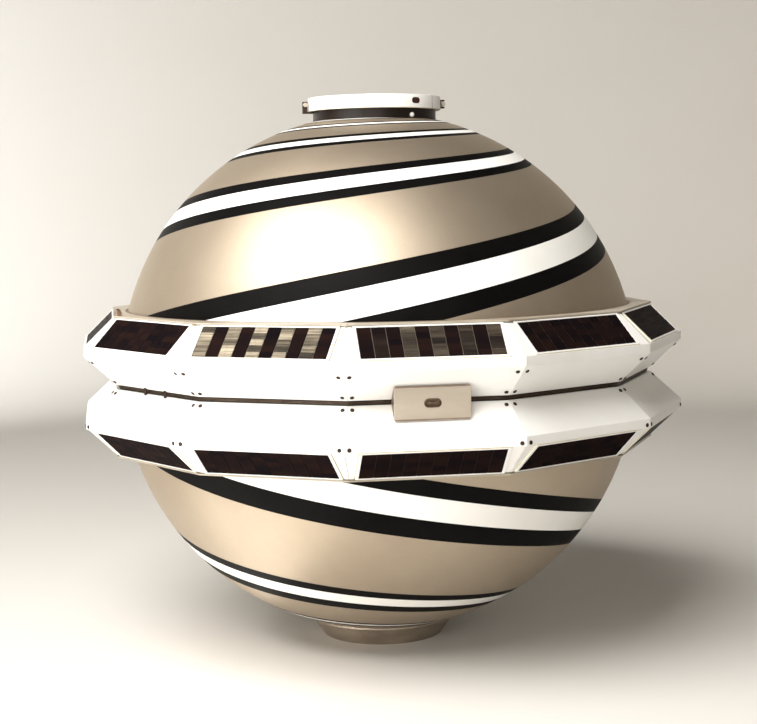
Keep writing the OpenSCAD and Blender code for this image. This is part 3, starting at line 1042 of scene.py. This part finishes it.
# ---------------------------------------------------------------- base collar
def base_ring():
    """The tapered collar with the bolt holes in its foot, and the disc that closes it."""
    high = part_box("base_collar")[1]
    flare, tall = high.x, high.z
    foot = 107.5 * MM
    foot_bore = foot - 12.5 * MM
    wall = foot_bore + 4 * MM
    deck_low, deck_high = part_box("base_deck")
    deck = deck_low.z
    seat = flare - 2 * MM
    outline = rounded([
        (foot_bore, 0), (foot, 0), (flare - 3.2 * MM, tall - 6.5 * MM), (flare, tall - 4.2 * MM),
        (flare, tall - 0.4 * MM), (seat, sphere_height(seat, -1)), (wall, sphere_height(wall, -1)),
        (wall, deck), (foot_bore, deck)], 0.8 * MM)
    bm = bmesh.new()
    lathe(bm, outline)
    piece = shown("base_collar_ring", bm, [collar_dull], smooth=30)
    holes, bolt_ring = 8, (foot + foot_bore) / 2
    bm = bmesh.new()
    for k in range(holes):
        angle = (k + 0.5) * 2 * math.pi / holes
        centre = Vector((bolt_ring * math.cos(angle), bolt_ring * math.sin(angle), 0))
        extruded(bm, polygon(2.6 * MM, 20), lambda x, y, out, centre=centre: centre + Vector((x, y, out)),
                 -4 * MM, deck - 2 * MM)
    carved(piece, [shown("cutter_bolts", bm, [collar_dull])])
    settle(piece, BODY, ["base_collar"])
    deck_plate("base_deck_plate", "base_deck", wall - 0.4 * MM, foot_bore, deck, deck_high.z)
    return foot_bore, deck


foot_bore, foot_deck = base_ring()


def deck_screws():
    points, facings = [], []
    for count, ring, height, way in ((12, bore * 0.86, deck_face, 1), (12, foot_bore * 0.86, foot_deck, -1)):
        for k in range(count):
            angle = 2 * math.pi * (k + 0.5) / count
            points.append(Vector((ring * math.cos(angle), ring * math.sin(angle), height)))
            facings.append(Vector((0, 0, way)))
    settle(screw_heads("deck_screws", points, facings, 2.8 * MM, 1.4 * MM, 0.7 * MM))


deck_screws()


# ---------------------------------------------------------------- carried-over nodes
def dress(node, material):
    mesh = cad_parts[node].data
    mesh.materials.clear()
    mesh.materials.append(material)


dress("waist_ring", groove_metal)
dress("upper_belt_rail", rail_white)
dress("lower_belt_rail", rail_white)
dress("equipment_deck", deck_satin)
dress("equipment_block", block_primer)


# ---------------------------------------------------------------- floor and light
def studio():
    """A pale floor that rises all round into a wall."""
    bm = bmesh.new()
    flat, bend = 3.4, 4.6
    profile = [(0.0, 0.0), (1.2, 0.0), (flat, 0.0)]
    profile += [(flat + bend * math.sin(a), bend - bend * math.cos(a)) for a in
                (math.radians(3.75 * k) for k in range(1, 25))]
    profile += [(flat + bend, 6.5), (flat + bend, 9.0)]
    steps = 96
    rings = [[bm.verts.new((r * math.cos(2 * math.pi * k / steps), r * math.sin(2 * math.pi * k / steps), z))
              for k in range(steps)] for r, z in profile[1:]]
    centre = bm.verts.new((0, 0, 0))
    for k in range(steps):
        bm.faces.new((centre, rings[0][k], rings[0][(k + 1) % steps]))
    for low, high in zip(rings, rings[1:]):
        bridge(bm, high, low)
    for face in bm.faces:
        face.smooth = True
    paper = finish("warm_paper", (0.67, 0.65, 0.615), (0.65, 0.625, 0.585), (0.8, 0.95),
                   patch=0.6, grain=60.0, relief=0.02, specular=0.1)
    floor = shown("studio_floor", bm, [paper], mend=False)


def lamp(name, place, aim, size, power, spread=150, colour=(1.0, 0.98, 0.95)):
    data = bpy.data.lights.new(name, "AREA")
    data.shape = "RECTANGLE"
    data.size, data.size_y = size
    data.energy = power
    data.spread = math.radians(spread)
    data.color = colour
    light = bpy.data.objects.new(name, data)
    light.location = place
    light.visible_camera = False
    light.rotation_euler = (Vector(aim) - Vector(place)).to_track_quat("-Z", "Y").to_euler()
    bpy.context.scene.collection.objects.link(light)


studio()
CENTRE = (0, 0, EQUATOR)
lamp("key", (-1.7, -1.6, 3.3), CENTRE, (3.4, 2.3), 195)
lamp("low_key", (-2.3, -1.7, 0.35), CENTRE, (2.4, 0.5), 22, 110)
lamp("front_fill", (-0.5, -3.4, 0.9), CENTRE, (1.5, 0.8), 14)
lamp("floor_glow", (-0.7, -0.5, 0.012), (-0.7, -0.5, 2.0), (0.9, 0.9), 3.0)
lamp("backdrop_left", (-2.2, 2.4, 2.6), (-3.8, 8.0, 2.0), (2.5, 2.5), 235, 160, (1.0, 1.0, 0.99))
lamp("backdrop_right", (2.2, 2.4, 2.6), (3.8, 8.0, 2.0), (2.5, 2.5), 50, 160, (1.0, 0.92, 0.82))
world = bpy.data.worlds.new("studio_air")
bpy.context.scene.world = world
world.use_nodes = True
world.node_tree.nodes["Background"].inputs[0].default_value = (1.0, 0.93, 0.84, 1.0)
world.node_tree.nodes["Background"].inputs[1].default_value = 0.07
bpy.context.scene.view_settings.view_transform = "Standard"
